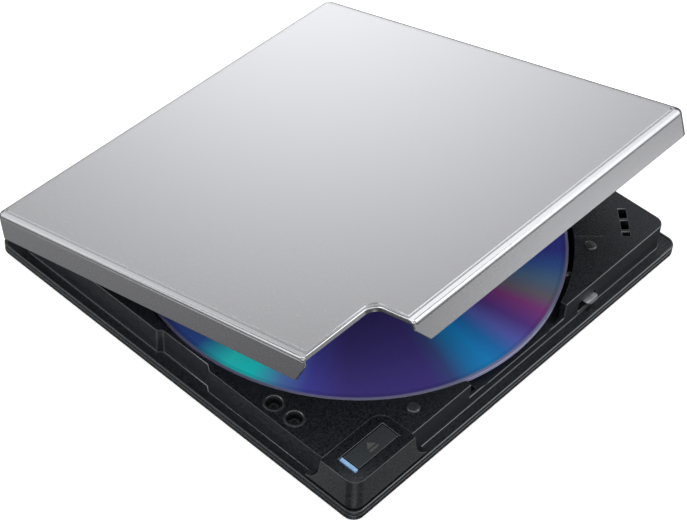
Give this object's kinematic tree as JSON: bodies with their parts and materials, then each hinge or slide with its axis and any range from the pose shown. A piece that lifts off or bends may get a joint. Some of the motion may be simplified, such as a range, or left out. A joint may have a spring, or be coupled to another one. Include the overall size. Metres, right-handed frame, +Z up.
{
  "type": "external optical drive",
  "caption": "Slim square disc drive: a lid hinged at the back over a spindle and disc, an open button in a corner pad, a front latch and a side socket.",
  "frame": {"origin": "on the surface the feet stand on, under the middle of the drive's outline with the lid at its rest angle", "axes": "+Z up, +Y towards the hinge at the back, +X to the right"},
  "size_m": [0.133, 0.134, 0.0499],
  "materials": {
    "textured_black": "fine texture",
    "satin_silver": "satin",
    "liner_black": "smooth",
    "steel": "bright",
    "dark_steel": "dark",
    "zinc": "cast",
    "rubber": "matte",
    "board": "solder mask",
    "chip": "moulded",
    "flex": "film",
    "light_pipe": "clear, lit",
    "lens_glass": "clear",
    "disc": "iridescent",
    "hub_grey": "smooth"
  },
  "bodies": {
    "base": {"bottom_case": "textured_black", "button_board": "board", "button_flex": "flex", "case_screw_1": "dark_steel", "case_screw_2": "dark_steel", "case_screw_3": "dark_steel", "case_screw_4": "dark_steel", "controller_chip": "chip", "corner_pad": "textured_black", "damper_1": "rubber", "damper_2": "rubber", "damper_3": "rubber", "deck_frame": "textured_black", "deck_screw_1": "dark_steel", "deck_screw_2": "dark_steel", "foot_1": "rubber", "foot_2": "rubber", "foot_3": "rubber", "foot_4": "rubber", "guide_rod_back": "steel", "guide_rod_front": "steel", "hinge_pin_left": "steel", "hinge_pin_right": "steel", "latch_solenoid": "dark_steel", "latch_spring": "steel", "led_light_pipe": "light_pipe", "main_board": "board", "memory_chip": "chip", "motor_driver_chip": "chip", "spindle_stator": "dark_steel", "status_led": "light_pipe", "stepper_motor": "zinc", "tact_switch": "chip", "traverse_chassis": "dark_steel", "traverse_flex": "flex", "usb_shell": "steel", "usb_tongue": "chip"},
    "lid": {"lid_shell": "satin_silver", "lid_liner": "liner_black", "lid_striker": "steel", "bumper_left": "rubber", "bumper_right": "rubber"},
    "button": {"open_button": "textured_black"},
    "latch": {"latch_hook": "zinc", "latch_pushrod": "steel"},
    "spindle": {"turntable": "hub_grey", "turntable_pad": "rubber", "disc": "disc"},
    "sled": {"pickup_sled": "zinc"},
    "lens": {"lens_holder": "chip", "objective_lens": "lens_glass"},
    "screw": {"lead_screw": "steel"}
  },
  "joints": [
    {"name": "lid_hinge", "type": "hinge", "parent": "base", "child": "lid", "pos_m": [0, 0.0618, 0.0086], "axis": [-1, 0, 0], "range_deg": [-16.1, 58.9]},
    {"name": "button_press", "type": "slide", "parent": "base", "child": "button", "axis": [0, 0, -1], "range_m": [0, 0.0008], "stiffness_N_per_m": 500, "springref_m": -0.001},
    {"name": "latch_slide", "type": "slide", "parent": "base", "child": "latch", "axis": [-1, 0, 0], "range_m": [0, 0.0018], "stiffness_N_per_m": 300, "springref_m": -0.001},
    {"name": "spindle_spin", "type": "hinge", "parent": "base", "child": "spindle", "pos_m": [0, -0.0034, 0.009], "axis": [0, 0, 1], "continuous": true},
    {"name": "sled_slide", "type": "slide", "parent": "base", "child": "sled", "axis": [0.7071, -0.7071, 0], "range_m": [-0.006, 0.028]},
    {"name": "screw_turn", "type": "hinge", "parent": "base", "child": "screw", "pos_m": [0.0321, -0.01372, 0.0053], "axis": [0.7071, -0.7071, 0], "range_deg": [-721, 3361]},
    {"name": "lens_focus", "type": "slide", "parent": "sled", "child": "lens", "axis": [0, 0, 1], "range_m": [-0.00025, 0.00025], "stiffness_N_per_m": 150}
  ],
  "couplings": [
    {"joint": "screw_turn", "follows": "sled_slide", "rad_per_m": 2094.4}
  ]
}
